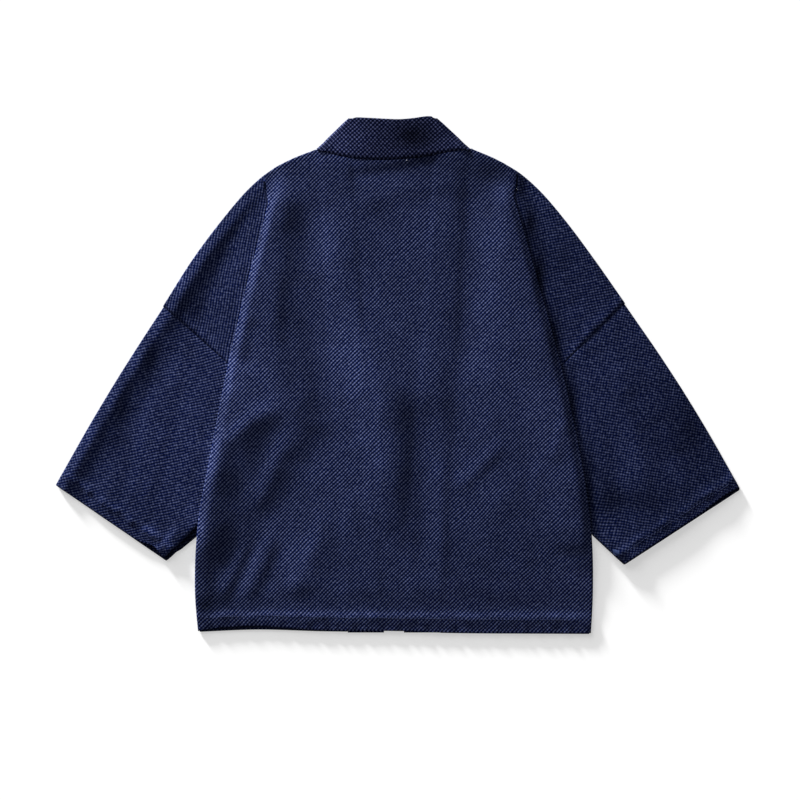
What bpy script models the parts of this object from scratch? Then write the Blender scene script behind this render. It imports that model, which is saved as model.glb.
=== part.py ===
"""A kimono jacket of thick indigo cotton, laid flat with its back side up.

The jacket lies on its fronts. Each sleeve is turned down beside the body, so the body's side is
folded round it: the back folds under at the side, runs in to a hidden crease and comes out again
as the drop shoulder, and the front does the same below. Six layers of cloth lie on each other there.

Sizes are in millimetres. Plan places are given per side as (out, up): out from the centre line of
the back, up from the hem. Heights are those of the middle of the cloth above the surface.
"""

import math
from collections import namedtuple

import bpy
import numpy as np

MM = 0.001

INDIGO = (0.015, 0.019, 0.055)
BAND_INDIGO = (0.009, 0.011, 0.027)
ROUGHNESS = 0.95

# Cloth and how closely it lies
CLOTH = 1.2
PITCH = 1.8
EDGE_RISE = 3.4
BACK_ROLL = 1.9
BAND_ROLL = 1.9
SEAM_STEP = 0.38
ARMHOLE_GAP = 0.36
BAND_GAP = 0.5
NECK_GAP = 0.9
HALF = CLOTH / 2

# Where the jacket's own centre line and hem lie in the frame
CENTRE_X = -5.996
HEM_Y = -371.78

# Body
APEX_UP = 667.0
ARMPIT_UP = 300.0
SIDE_SEAM_UP = 131.0
NECK_OUT = 113.5
APEX_RISE_LENGTH = 50.0
APEX_BEND_LENGTH = 42.0
LEVEL_FROM = 24.0
LEVEL_LENGTH = 12.0
EDGE_CLOSENESS = 0.75
FOLD_END_UP = 103.0
FOLD_END_LENGTH = 45.0
PUFF_WIDTH = 22.0
HEM_DEPTH = 24.0
HEM_TURN_RISE = 2.0
STACK_MARGIN = 10.0
STACK_SLOPE = 52.0
FRONT_INSET = 5.0
SIDE_SEAM_INSET = 1.5

# Sleeve
CUFF_RISE = 3 * PITCH + 0.3
SLEEVE_CROWN = 1.2
CROWN_LENGTH = 0.3
TUCK_MARGIN = 3.5
TUCK_SLOPE = 48.0
SLEEVE_INSET = 0.9
UNDERARM_INSET = 5.0

# Neck and front band, folded double
BAND_CLOTH = 2 * CLOTH
BAND_NECK_SAG = 1.8
BAND_SEAM_UP = 703.5
BAND_FREE_UP = 745.5
BAND_SEAM_FOOT = 67.0
BAND_FREE_FOOT = 14.5
BAND_FOOT_UP = -1.2

# The visible side edge of the body: up from the hem, out on the left, out on the right
FOLD_EDGE = (
    (0, 284.5, 286.0),
    (48, 288.6, 288.6),
    (151, 285.0, 286.0),
    (268, 264.0, 268.5),
    (388, 240.5, 242.0),
    (503, 214.0, 210.5),
    (611, 186.0, 179.5),
    (640, 179.5, 171.0),
    (667, 176.5, 164.0),
)

# The shoulder edge from the neck to the armhole: out, up on the left, up on the right
SHOULDER_EDGE = (
    (113.5, 700.0, 700.8),
    (150, 685.5, 685.0),
    (180, 669.0, 667.5),
    (212, 641.5, 639.5),
    (250, 597.0, 595.0),
    (292, 540.5, 538.5),
    (335, 472.7, 477.1),
)

# The neck seam and the band's top edge across the back, left to right: across, up
NECK_SEAM = (
    (-113.5, 700.5),
    (-77, 690.5),
    (-48, 686.3),
    (0, 685.8),
    (36, 688.8),
    (79, 696.5),
    (113.5, 702.0),
)
BAND_TOP = (
    (-66, 742.6),
    (-52, 744.2),
    (-36, 743.8),
    (0, 743.2),
    (28, 745.4),
    (46, 747.0),
    (60, 743.6),
)

# The hem's edge across the back, left to right: across, up
BACK_HEM = (
    (-286, 0.8),
    (-200, 4.2),
    (-100, 1.6),
    (0, 0.8),
    (100, -1.2),
    (200, -1.8),
    (286, -2.2),
)

# What differs between the two sides, places as (out, up)
Side = namedtuple(
    "Side",
    "name sign fold shoulder apex_out armpit cuff_top cuff_low sleeve_bow band_seam band_free",
)
SIDES = (
    Side(
        "left", -1, [row[:2] for row in FOLD_EDGE], [row[:2] for row in SHOULDER_EDGE],
        188.0, (140.0, ARMPIT_UP), (490.5, 213.5), (328.0, 102.5), 3.6, 108.0, 65.0,
    ),
    Side(
        "right", 1, [row[::2] for row in FOLD_EDGE], [row[::2] for row in SHOULDER_EDGE],
        178.0, (156.0, ARMPIT_UP), (502.5, 207.5), (333.5, 97.5), 5.4, 106.5, 61.5,
    ),
)

# How far each row of a panel is up its side edge. Rows with an arm part carry the drop shoulder,
# side rows end at the hidden side seam, and hip rows end at the open side edge below the sleeve.
ARM_ROWS = (
    667.0, 666.92, 666.2, 664.7, 657.0, 648.0, 639.0, 630.0, 621.0, 614.0, 607.0,
    600.0, 590.0, 573.0, 545.0, 505.0, 460.0, 415.0, 372.0, 335.0, 312.0,
)
SIDE_ROWS = (294.0, 260.0, 220.0, 182.0, 148.0)
HIP_ROWS = (127.0, 108.0, 86.0, 60.0, 38.0, HEM_DEPTH, 0.0)
NECK_STATIONS = (0.0, 27.0, 54.0, 80.0, 99.0, 113.5)
CORNER_STEP = 5.0
SHOULDER_STEPS = 4
FRONT_STEPS = 4
ARC_STEPS = 4
DROP_STEPS = 7
BAND_STEPS = 3
WALL_STEPS = 10
FINE_STEPS = 60
STRAIGHT_COUNTED = 3.0
LENGTH_PER_TURN = 4.0
SEAM_TURN_ANGLES = (38.0, 72.0, 90.0)
BAND_ROWS = (0, 0.15, 0.3, 0.45, 0.6, 0.75, 0.9)
SLEEVE_RINGS = (0, 0.04, 0.1, 0.18, 0.27, 0.37, 0.48, 0.6, 0.75, 0.9, 0.94, 1.0)

# A panel's height in the middle, the layer it is when folded under, and its side roll
Panel = namedtuple("Panel", "laid under_layer fold_roll inset")
BACK = Panel(HALF + EDGE_RISE, 4, BACK_ROLL, 0.0)
FRONT = Panel(HALF, 1, PITCH / 2, FRONT_INSET)


def ease(x):
    """0 below 0, 1 above 1 and a smooth step between."""
    x = np.clip(x, 0.0, 1.0)
    return x * x * (3 - 2 * x)


def mix(a, b, share):
    """The value a share of the way from a to b."""
    return a + (b - a) * share


def through(stations, at):
    """A smooth curve through (place, value) stations, read at a place."""
    place, value = np.array(stations, float).T
    slope = np.gradient(value, place)
    k = np.clip(np.searchsorted(place, at, side="right") - 1, 0, len(place) - 2)
    step = place[k + 1] - place[k]
    f = np.clip((at - place[k]) / step, 0.0, 1.0)
    rise = value[k + 1] - value[k]
    return (
        value[k]
        + rise * f * f * (3 - 2 * f)
        + step * f * (1 - f) * ((1 - f) * slope[k] - f * slope[k + 1])
    )


def distance_to(points, start, end):
    """Plan distance of each point from a straight stretch."""
    start, end = np.array(start), np.array(end)
    along = end - start
    share = np.clip(((points - start) @ along) / (along @ along), 0.0, 1.0)
    return np.linalg.norm(points - start - share[..., None] * along, axis=-1)


def layer(number):
    """Height of a layer's middle where the layers lie on each other, 0 on the surface."""
    return HALF + number * PITCH


def fold_out(side, up):
    """The visible side edge of the body."""
    return through(side.fold, np.minimum(up, APEX_UP))


def hidden_crease(side, up):
    """Where the body's cloth turns back under the side: the valley crease, then the side seam."""
    valley = mix(side.apex_out, side.armpit[0], (APEX_UP - up) / (APEX_UP - ARMPIT_UP))
    seam = mix(side.armpit[0], fold_out(side, SIDE_SEAM_UP), (ARMPIT_UP - up) / (ARMPIT_UP - SIDE_SEAM_UP))
    return np.where(up > ARMPIT_UP, valley, seam)


def apex(side):
    """Where the side fold starts at the shoulder."""
    return np.array([fold_out(side, APEX_UP), APEX_UP])


def stack_share(side, plan):
    """1 over the folded-in side, falling to 0 over the slope towards the middle of the back."""
    out, up = plan[..., 0], plan[..., 1]
    hip = (fold_out(side, SIDE_SEAM_UP), SIDE_SEAM_UP)
    top = (side.apex_out, APEX_UP)
    away = np.minimum(distance_to(plan, top, side.armpit), distance_to(plan, side.armpit, hip))
    over = (up > SIDE_SEAM_UP) & (out > hidden_crease(side, up))
    beside = 1 - ease((away - STACK_MARGIN) / STACK_SLOPE)
    return np.where(over, 1.0, beside) * ease((APEX_UP - up) / APEX_RISE_LENGTH)


def hem_share(up):
    """1 over the turned-up hem, falling to 0 above it."""
    return 1 - ease((up - HEM_DEPTH) / HEM_DEPTH)


def body_height(side, panel, plan, edge_out):
    """Height of the back or of a front between its centre and its side edge."""
    if panel is FRONT:
        return np.full(plan.shape[:-1], HALF)
    out, up = plan[..., 0], plan[..., 1]
    stack = (layer(5) - panel.laid) * stack_share(side, plan)
    puff = 2 * (BACK_ROLL - PITCH / 2) * (1 - ease((edge_out - out) / PUFF_WIDTH))
    puff = puff * ease((APEX_UP - up) / APEX_RISE_LENGTH) * ease((up - FOLD_END_UP) / FOLD_END_LENGTH)
    return panel.laid + stack + puff + HEM_TURN_RISE * hem_share(up)


def tucked_share(side, plan):
    """1 where a sleeve or drop shoulder lies inside the body's fold, falling to 0 outside it."""
    out, up = plan[..., 0], plan[..., 1]
    beyond = (out - fold_out(side, up) - TUCK_MARGIN) / TUCK_SLOPE
    near_apex = np.linalg.norm(plan - apex(side), axis=-1) / APEX_RISE_LENGTH
    return (1 - ease(beyond)) * ease(near_apex)


def arm_height(side, panel, plan):
    """Height of the drop shoulder, and of the sleeve's wall in line with it."""
    tucked = tucked_share(side, plan)
    low = HALF + 2 * PITCH * tucked
    if panel is FRONT:
        return low
    return low + mix(EDGE_RISE, PITCH, tucked)


def shoulder_up(side, out):
    """The middle of the cloth at the shoulder edge."""
    return through(side.shoulder, out) - HALF


def fold_profile(reach, first_roll, second_roll):
    """The body's side folding under and out again: (out, fall) along one row from the fold's top.

    reach is how far the row ends beyond its start. Below zero the cloth turns right back on
    itself and the two layers lie that far over each other. fall is 0 at the body, 1 at the
    returning layer and 2 at the drop shoulder. The points share out the turn and a short length.
    """
    rolls = first_roll + second_roll
    turn = math.pi if reach <= 0 else 2 * math.atan2(rolls, reach)
    straight = abs(reach)
    angles = np.linspace(0, turn, FINE_STEPS + 1)
    out = first_roll * np.sin(angles)
    down = first_roll * (1 - np.cos(angles))
    end_out = out[-1] + straight * math.cos(turn)
    end_down = down[-1] + straight * math.sin(turn)
    out = np.append(out, end_out + second_roll * (math.sin(turn) - np.sin(angles[::-1])))
    down = np.append(down, end_down + second_roll * (np.cos(angles[::-1]) - math.cos(turn)))
    length = np.minimum(np.hypot(np.diff(out), np.diff(down)), STRAIGHT_COUNTED)
    turned = np.where(np.arange(len(length)) == FINE_STEPS, 0.0, turn / FINE_STEPS)
    weight = np.append(0.0, np.cumsum(length / LENGTH_PER_TURN + turned))
    picked = np.linspace(0, weight[-1], 2 * ARC_STEPS + 2)[1:]
    out = np.interp(picked, weight, out)
    down = np.interp(picked, weight, down)
    fall = np.where(
        down <= 2 * first_roll,
        down / (2 * first_roll),
        1 + (down - 2 * first_roll) / (2 * second_roll),
    )
    return out, fall


def edge_drop(height, seam, inside):
    """The rounded edge: a layer's height this far inside the seam that it turns to."""
    share = np.sqrt(1 - (1 - np.clip(inside / (EDGE_RISE / 2), 0.0, 1.0)) ** 2)
    return seam + (height - seam) * share


def seam_height(panel, front, back):
    """Height of a panel's edge at a seam of front and back, just clear of the other panel's."""
    middle = (front + back) / 2
    return middle + SEAM_STEP if panel is BACK else middle - SEAM_STEP


def panel_edge(side, panel, up):
    """(out, roll) where a panel's flat part ends and its side roll starts."""
    below = 1 - ease((up - FOLD_END_UP) / FOLD_END_LENGTH)
    roll = mix(panel.fold_roll, BACK_ROLL, below)
    return fold_out(side, up) - mix(panel.inset, 0.0, below) - HALF - roll, roll


def edge_up(side, panel, up):
    """How far up a row meets the side edge. The first rows bend up to the shoulder edge there."""
    start = mix(shoulder_up(side, side.apex_out), ARMPIT_UP, (APEX_UP - up) / (APEX_UP - ARMPIT_UP))
    corner = shoulder_up(side, panel_edge(side, panel, APEX_UP)[0]) - shoulder_up(side, side.apex_out)
    bend = corner * (1 - ease((APEX_UP - up) / APEX_BEND_LENGTH))
    return start + bend if up > ARMPIT_UP else up


def hem_up(side, out):
    """The hem's edge."""
    return through(BACK_HEM, side.sign * out)


def body_row(side, panel, up, columns):
    """The flat part of a row. columns are shares of the way from the centre to the side edge."""
    edge_out, _ = panel_edge(side, panel, up)
    top_edge, _ = panel_edge(side, panel, APEX_UP)
    share = (APEX_UP - up) / APEX_UP
    top_out = columns * top_edge
    neck = through(NECK_SEAM, side.sign * top_out) - NECK_GAP
    top = np.where(top_out < NECK_OUT, neck, shoulder_up(side, np.maximum(top_out, NECK_OUT)))
    hem = hem_up(side, columns * edge_out)
    ups = mix(top, hem, share)
    if up > 0:
        ups = ups + (edge_up(side, panel, up) - ups[-1]) * columns**4
    plan = np.stack([columns * edge_out, ups], axis=-1)
    height = body_height(side, panel, plan, edge_out)
    seam = seam_height(panel, HALF, HALF + EDGE_RISE)
    dropped = edge_drop(height, seam, EDGE_CLOSENESS * (APEX_UP - up))
    seamed = (top_out > NECK_OUT + HALF) | (panel is FRONT)
    height = np.where(seamed, dropped, height)
    return np.column_stack([plan, height])


def arm_row(side, panel, up):
    """The fold, the hidden return and the drop shoulder of a row."""
    edge_out, roll = panel_edge(side, panel, up)
    start = body_row(side, panel, up, np.array([1.0]))[0]
    shares = np.linspace(0, 1, DROP_STEPS + 1)
    outline_out = mix(side.apex_out, side.shoulder[-1][0], shares)
    outline = np.stack([outline_out, shoulder_up(side, outline_out)], axis=-1)
    down = (APEX_UP - up) / (APEX_UP - ARMPIT_UP)
    drop = mix(outline, np.array(side.armpit), down)
    gap = drop[0] - start[:2]
    level = np.array([np.linalg.norm(gap), 0.0])
    heading = mix(gap, level, ease((APEX_UP - up - LEVEL_FROM) / LEVEL_LENGTH))
    heading = heading / np.linalg.norm(heading)
    reach = float(gap @ heading)
    out, fall = fold_profile(reach, roll, PITCH / 2)
    drift = gap - reach * heading
    progress = np.arange(1, len(out) + 1) / len(out)
    fold = start[:2] + out[:, None] * heading + progress[:, None] * drift
    rise = ease((APEX_UP - up) / APEX_RISE_LENGTH)
    top = body_height(side, panel, np.array([start[:2]]), edge_out)[0]
    back_under = mix(panel.laid, layer(panel.under_layer), rise)
    tucked = arm_height(side, panel, drop[:1])[0]
    height = np.interp(fall, [0, 1, 2], [top, back_under, tucked])
    plan = np.vstack([fold, drop[1:]])
    height = np.append(height, arm_height(side, panel, drop[1:]))
    seams = seam_height(panel, arm_height(side, FRONT, outline), arm_height(side, BACK, outline))
    body_seam = seam_height(panel, HALF, HALF + EDGE_RISE)
    seams = np.append(mix(body_seam, seams[0], progress), seams[1:])
    height = edge_drop(height, seams, EDGE_CLOSENESS * (APEX_UP - up))
    return np.column_stack([plan, height])


def quarter_turn(start_out, end_out, start_height, end_height):
    """An edge's rounded last stretch, from lying flat to standing at its seam: (out, height)."""
    angles = np.radians(SEAM_TURN_ANGLES)
    return (
        start_out + (end_out - start_out) * np.sin(angles),
        end_height + (start_height - end_height) * np.cos(angles),
    )


def side_row(side, panel, up):
    """The fold and the hidden return down to the side seam, which turns to meet the other panel."""
    edge_out, roll = panel_edge(side, panel, up)
    start = body_row(side, panel, up, np.array([1.0]))[0]
    under = layer(panel.under_layer)
    angles = np.linspace(0, math.pi, ARC_STEPS + 1)[1:]
    out = edge_out + roll * np.sin(angles)
    height = mix(start[2], under, (1 - np.cos(angles)) / 2)
    seam = seam_height(panel, layer(FRONT.under_layer), layer(BACK.under_layer))
    crease = float(hidden_crease(side, up)) - SIDE_SEAM_INSET
    turn = abs(under - seam)
    turn_out, turn_height = quarter_turn(crease + turn, crease, under, seam)
    out = np.concatenate([out, [crease + turn], turn_out])
    height = np.concatenate([height, [under], turn_height])
    return np.column_stack([out, np.full(len(out), start[1]), height])


def hip_row(side, panel, up):
    """The rounded side edge below the sleeve, down or up to the side seam."""
    edge_out, roll = panel_edge(side, panel, up)
    start = body_row(side, panel, up, np.array([1.0]))[0]
    back_out, _ = panel_edge(side, BACK, up)
    back = body_height(side, BACK, np.array([[back_out, start[1]]]), back_out)[0]
    seam = seam_height(panel, HALF, back)
    out, height = quarter_turn(edge_out, edge_out + roll, start[2], seam)
    return np.column_stack([out, np.full(len(out), start[1]), height])


def half_panel(side, panel, columns):
    """Rows of points from a panel's inner edge to its outer edge, each row as long as it goes."""
    rows = []
    for up in ARM_ROWS + SIDE_ROWS + HIP_ROWS:
        flat = body_row(side, panel, up, columns(up))
        if up in ARM_ROWS:
            rest = arm_row(side, panel, up)
        elif up in SIDE_ROWS:
            rest = side_row(side, panel, up)
        else:
            rest = hip_row(side, panel, up)
        rows.append(np.vstack([flat, rest]))
    return rows


def turned_rows(edge, back_to, inward):
    """The turned-in allowance past an edge: a half turn, then a flat return to a row of the panel."""
    roll = PITCH / 2
    outward = edge - back_to
    outward = outward / np.linalg.norm(outward, axis=1)[:, None]
    rows = []
    for angle in (math.pi / 3, 2 * math.pi / 3, math.pi):
        rows.append(edge + roll * (math.sin(angle) * outward + (1 - math.cos(angle)) * inward))
    rows.append(back_to + 2 * roll * inward)
    return rows


class Sheet:
    """The middle surface of one piece of cloth, gathered as points and faces."""

    def __init__(self):
        self.points = []
        self.faces = []

    def add(self, rows):
        """Adds rows of points and returns each row's point numbers."""
        numbers = []
        for row in rows:
            first = len(self.points)
            self.points.extend(tuple(point) for point in row)
            numbers.append(list(range(first, len(self.points))))
        return numbers

    def weave(self, numbers, closed=False):
        """Faces between neighbouring rows, as far as the shorter one goes."""
        for upper, lower in zip(numbers, numbers[1:]):
            shared = min(len(upper), len(lower))
            last = shared if closed else shared - 1
            for i in range(last):
                j = (i + 1) % shared
                self.faces.append((upper[i], lower[i], lower[j], upper[j]))


def placed(side, rows):
    """Rows of (out, up, height) as points in the jacket's own frame."""
    return [row * np.array([side.sign, 1.0, 1.0]) for row in rows]


def make_piece(name, sheet, thickness, colour):
    """A closed wall of cloth about a middle surface, placed in the frame in metres."""
    offset = np.array([CENTRE_X, HEM_Y, 0.0])
    mesh = bpy.data.meshes.new(name)
    points = [tuple((np.array(point) + offset) * MM) for point in sheet.points]
    mesh.from_pydata(points, [], sheet.faces)
    mesh.validate()
    mesh.shade_smooth()
    piece = bpy.data.objects.new(name, mesh)
    bpy.context.scene.collection.objects.link(piece)
    wall = piece.modifiers.new("wall", "SOLIDIFY")
    wall.thickness = thickness * MM
    wall.offset = 0.0
    wall.use_even_offset = False
    mesh.materials.append(cloth_material(name + "_cotton", colour))
    return piece


def cloth_material(name, colour):
    """Matt woven cotton."""
    material = bpy.data.materials.new(name)
    material.use_nodes = True
    shader = material.node_tree.nodes["Principled BSDF"]
    shader.inputs["Base Color"].default_value = (*colour, 1.0)
    shader.inputs["Roughness"].default_value = ROUGHNESS
    shader.inputs["Metallic"].default_value = 0.0
    return material


def body_columns(side):
    """Shares across half the back, with columns at the neck stations and beside the neck's corner."""
    top_edge, _ = panel_edge(side, BACK, APEX_UP)
    neck = np.array(NECK_STATIONS) / top_edge
    corner = (NECK_OUT + CORNER_STEP) / top_edge
    return np.append(neck, np.linspace(corner, 1, SHOULDER_STEPS + 1))


def make_back(colour):
    """The back with both drop shoulders, and its hem turned under."""
    sheet = Sheet()
    left, right = (placed(side, half_panel(side, BACK, lambda up: body_columns(side))) for side in SIDES)
    rows = [np.vstack([a[:0:-1], b]) for a, b in zip(left, right)]
    centres = [len(row) - 1 for row in left]
    numbers = sheet.add(rows)
    for k in range(len(numbers) - 1):
        upper, lower = numbers[k], numbers[k + 1]
        reach = min(centres[k], centres[k + 1])
        a, b = centres[k] - reach, centres[k + 1] - reach
        sheet.weave([upper[a : a + 2 * reach + 1], lower[b : b + 2 * reach + 1]])
    flat = len(body_columns(SIDES[0])) - 1
    hem, above = (row[c - flat : c + flat + 1] for row, c in zip(rows[:-3:-1], centres[:-3:-1]))
    edge = numbers[-1][centres[-1] - flat : centres[-1] + flat + 1]
    sheet.weave([edge] + sheet.add(turned_rows(hem, above, np.array([0, 0, -1.0]))))
    return make_piece("back", sheet, CLOTH, colour)


def front_columns(side, up):
    """Shares across a front, from beside its band to its side edge."""
    top_edge, _ = panel_edge(side, FRONT, APEX_UP)
    edge_out, _ = panel_edge(side, FRONT, up)
    seam = mix(BAND_SEAM_FOOT, side.band_seam, up / BAND_SEAM_UP) + BAND_GAP
    return np.linspace(seam / edge_out, 1, FRONT_STEPS + 1)


def make_front(side, colour):
    """One front with its drop shoulder, and its hem turned up."""
    sheet = Sheet()
    rows = placed(side, half_panel(side, FRONT, lambda up: front_columns(side, up)))
    numbers = sheet.add(rows)
    sheet.weave(numbers)
    flat = FRONT_STEPS + 1
    turned = turned_rows(rows[-1][:flat], rows[-2][:flat], np.array([0, 0, 1.0]))
    sheet.weave([numbers[-1][:flat]] + sheet.add(turned))
    return make_piece("front_" + side.name, sheet, CLOTH, colour)


def sleeve_ring(side, share):
    """One cross-section of the sleeve: upper wall, underarm, lower wall, top edge."""
    shoulder = np.array([side.shoulder[-1][0], shoulder_up(side, side.shoulder[-1][0])])
    armhole = np.array(side.armpit) - shoulder
    armhole = armhole / np.linalg.norm(armhole)
    off = np.array([-armhole[1], armhole[0]]) * ARMHOLE_GAP
    top = mix(shoulder + armhole * SLEEVE_INSET + off, np.array(side.cuff_top), share)
    top = top - armhole * side.sleeve_bow * math.sin(math.pi * share)
    low = mix(np.array(side.armpit) - armhole * UNDERARM_INSET + off, np.array(side.cuff_low), share)
    across = (low - top) / np.linalg.norm(low - top)
    cuff = ease((share - SLEEVE_RINGS[-3]) / (SLEEVE_RINGS[-2] - SLEEVE_RINGS[-3]))

    def heights(plan, shares):
        lower = arm_height(side, FRONT, plan)
        crown = SLEEVE_CROWN * np.sin(math.pi * shares) * (1 - tucked_share(side, plan))
        upper = arm_height(side, BACK, plan) + crown * ease(share / CROWN_LENGTH)
        return lower, mix(upper, lower + CUFF_RISE, cuff)

    shares = np.linspace(0, 1, WALL_STEPS + 1)
    lower, upper = heights(mix(top, low, shares[:, None]), shares)
    top_roll, low_roll = (upper - lower)[[0, -1]] / 2
    plan = mix(top + across * (HALF + top_roll), low - across * (HALF + low_roll), shares[:, None])
    lower, upper = heights(plan, shares)
    angles = np.linspace(0, math.pi, ARC_STEPS + 1)[1:-1]
    ends = []
    for k, outward in ((-1, across), (0, -across)):
        roll = (upper[k] - lower[k]) / 2
        end = plan[k] + outward * roll * np.sin(angles)[:, None]
        ends.append(np.column_stack([end, lower[k] + roll * (1 + np.cos(angles))]))
    return np.vstack([
        np.column_stack([plan, upper]),
        ends[0],
        np.column_stack([plan, lower])[::-1],
        ends[1][::-1],
    ])


def make_sleeve(side, colour):
    """One sleeve, a tube sewn on at the armhole, with its cuff turned in."""
    sheet = Sheet()
    rings = [sleeve_ring(side, share) for share in SLEEVE_RINGS]
    cuff = rings[-1]
    around = np.roll(cuff, -1, axis=0) - np.roll(cuff, 1, axis=0)
    along = np.append(np.array(side.cuff_top) - np.array(side.shoulder[-1]), 0.0)
    inward = np.cross(around, along)
    inward = inward / np.linalg.norm(inward, axis=1)[:, None]
    inward = inward * np.sign(np.sum((cuff.mean(axis=0) - cuff) * inward))
    rings += turned_rows(cuff, rings[-2], inward)
    sheet.weave(sheet.add(placed(side, rings)), closed=True)
    return make_piece("sleeve_" + side.name, sheet, CLOTH, colour)


def band_front_rows(side):
    """The band up one front, ending in the diagonal fold at the neck."""
    seam_top, free_top = np.array([side.band_seam, BAND_SEAM_UP]), np.array([side.band_free, BAND_FREE_UP])
    diagonal = (free_top - seam_top) / np.linalg.norm(free_top - seam_top)
    outward = np.array([diagonal[1], -diagonal[0]])
    tuck = BAND_ROLL + BAND_CLOTH / 2
    seam_top, free_top = seam_top - outward * tuck, free_top - outward * tuck
    seam_foot, free_foot = np.array([BAND_SEAM_FOOT, BAND_FOOT_UP]), np.array([BAND_FREE_FOOT, BAND_FOOT_UP])
    low = BAND_CLOTH / 2
    across = np.linspace(0, 1, BAND_STEPS + 1)[:, None]
    rows = []
    for share in BAND_ROWS:
        plan = mix(mix(seam_foot, seam_top, share), mix(free_foot, free_top, share), across)
        rows.append(np.column_stack([plan, np.full(len(plan), low)]))
    line = mix(seam_top, free_top, across)
    for angle in np.linspace(0, math.pi, ARC_STEPS + 1):
        plan = line + outward * BAND_ROLL * math.sin(angle)
        height = low + BAND_ROLL * (1 - math.cos(angle))
        rows.append(np.column_stack([plan, np.full(len(plan), height)]))
    return rows


def make_collar(colour):
    """The folded band: up one front, round the back neck and down the other front."""
    sheet = Sheet()
    left, right = (placed(side, band_front_rows(side)) for side in SIDES)
    neck = []
    across = np.linspace(0, 1, BAND_STEPS + 1)[:, None]
    left_end, right_end = left[-1], right[-1]
    stations = NECK_STATIONS[:-1]
    for seam_x in [-x for x in stations[:0:-1]] + list(stations):
        free_x = np.interp(
            seam_x,
            [left_end[0, 0], 0.0, right_end[0, 0]],
            [left_end[-1, 0], 0.0, right_end[-1, 0]],
        )
        seam = np.array([seam_x, through(NECK_SEAM, seam_x)])
        free = np.array([free_x, through(BAND_TOP, free_x)])
        plan = mix(seam, free, across)
        sag = BAND_NECK_SAG * (1 - ease(abs(plan[:, 0]) / NECK_STATIONS[2]))
        neck.append(np.column_stack([plan, left_end[0, 2] - sag]))
    sheet.weave(sheet.add(left + neck + right[::-1]))
    return make_piece("collar", sheet, BAND_CLOTH, colour)


def main():
    for old in list(bpy.data.objects):
        bpy.data.objects.remove(old, do_unlink=True)
    make_back(INDIGO)
    for side in SIDES:
        make_front(side, INDIGO)
        make_sleeve(side, INDIGO)
    make_collar(BAND_INDIGO)


main()
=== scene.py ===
"""The kimono jacket in worn indigo rice-stitch cotton, laid back side up on a pale surface."""

import math
from collections import namedtuple

import bpy
import numpy as np
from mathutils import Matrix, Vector


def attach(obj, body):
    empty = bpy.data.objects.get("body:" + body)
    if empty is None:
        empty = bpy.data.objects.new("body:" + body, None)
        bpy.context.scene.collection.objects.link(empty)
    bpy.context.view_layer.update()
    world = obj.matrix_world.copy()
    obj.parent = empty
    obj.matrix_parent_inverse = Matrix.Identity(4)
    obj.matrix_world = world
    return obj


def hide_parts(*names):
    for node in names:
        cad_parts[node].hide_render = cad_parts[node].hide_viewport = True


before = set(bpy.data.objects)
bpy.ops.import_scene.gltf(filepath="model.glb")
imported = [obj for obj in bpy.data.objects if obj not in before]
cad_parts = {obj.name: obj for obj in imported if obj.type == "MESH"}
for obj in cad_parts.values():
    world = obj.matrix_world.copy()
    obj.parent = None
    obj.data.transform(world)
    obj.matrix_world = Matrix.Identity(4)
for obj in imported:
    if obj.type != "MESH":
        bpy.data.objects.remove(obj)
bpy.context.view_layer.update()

MM = 0.001

# Cloth and how closely it lies, in millimetres
CLOTH = 1.2
PITCH = 1.35
EDGE_RISE = 3.4
BACK_ROLL = 1.9
BAND_ROLL = 1.9
SEAM_STEP = 0.38
BAND_GAP = 0.5
NECK_GAP = 0.9
HALF = CLOTH / 2

# Where the jacket's own centre line and hem lie in the frame
CENTRE_X = -5.996
HEM_Y = -371.78

# Body
APEX_UP = 667.0
ARMPIT_UP = 300.0
SIDE_SEAM_UP = 131.0
NECK_OUT = 113.5
APEX_RISE = 50.0
APEX_BEND = 42.0
LEVEL_FROM = 24.0
LEVEL_LENGTH = 12.0
EDGE_CLOSENESS = 0.75
FOLD_END_UP = 103.0
FOLD_END_LENGTH = 45.0
PUFF_WIDTH = 17.0
FOLD_CREST = 4.6
HEM_DEPTH = 24.0
HEM_TURN_RISE = 1.0
BACK_LIFT = 2.3
HEM_SLIVER = 4.2
RELIEF = 0.9
STACK_MARGIN = 10.0
STACK_SLOPE = 52.0
FRONT_INSET = 5.0
SIDE_SEAM_INSET = 1.5

# Sleeve
CUFF_RISE = 3 * PITCH + 0.3
CUFF_SLIP = 4.2
SLEEVE_CROWN = 1.2
CROWN_LENGTH = 0.3
TUCK_MARGIN = 3.5
TUCK_SLOPE = 48.0
SLEEVE_INSET = 0.9
UNDERARM_INSET = 5.0

# Shares of the sleeve's length: where the cuff's thickening and its upper wall's slip set in, and
# over how much of it
CUFF_FROM, CUFF_STEP = 0.9, 0.04
SLIP_FROM, SLIP_STEP = 0.965, 0.035

# Stitches
STITCH_LENGTH = 3.2
STITCH_PITCH = 5.2
CUFF_STITCH_IN = 15.0
HEM_STITCH_UP = 19.5
NECK_THREAD = ((17.5, 684.4), (20.2, 684.0))

# Neck and front band, folded double
BAND_CLOTH = 2 * CLOTH
BAND_NECK_SAG = 1.8
NECK_TUCK = 3.2
TUCK_UP = 2.4
BAND_SEAM_UP = 703.5
BAND_FREE_UP = 745.5
BAND_SEAM_FOOT = 67.0
BAND_FREE_FOOT = 14.5
BAND_FOOT_UP = -1.2
BAND_WIDTH = 57.0
NECK_SPAN = 102.0
NECK_TUCK_END = 84.0

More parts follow.
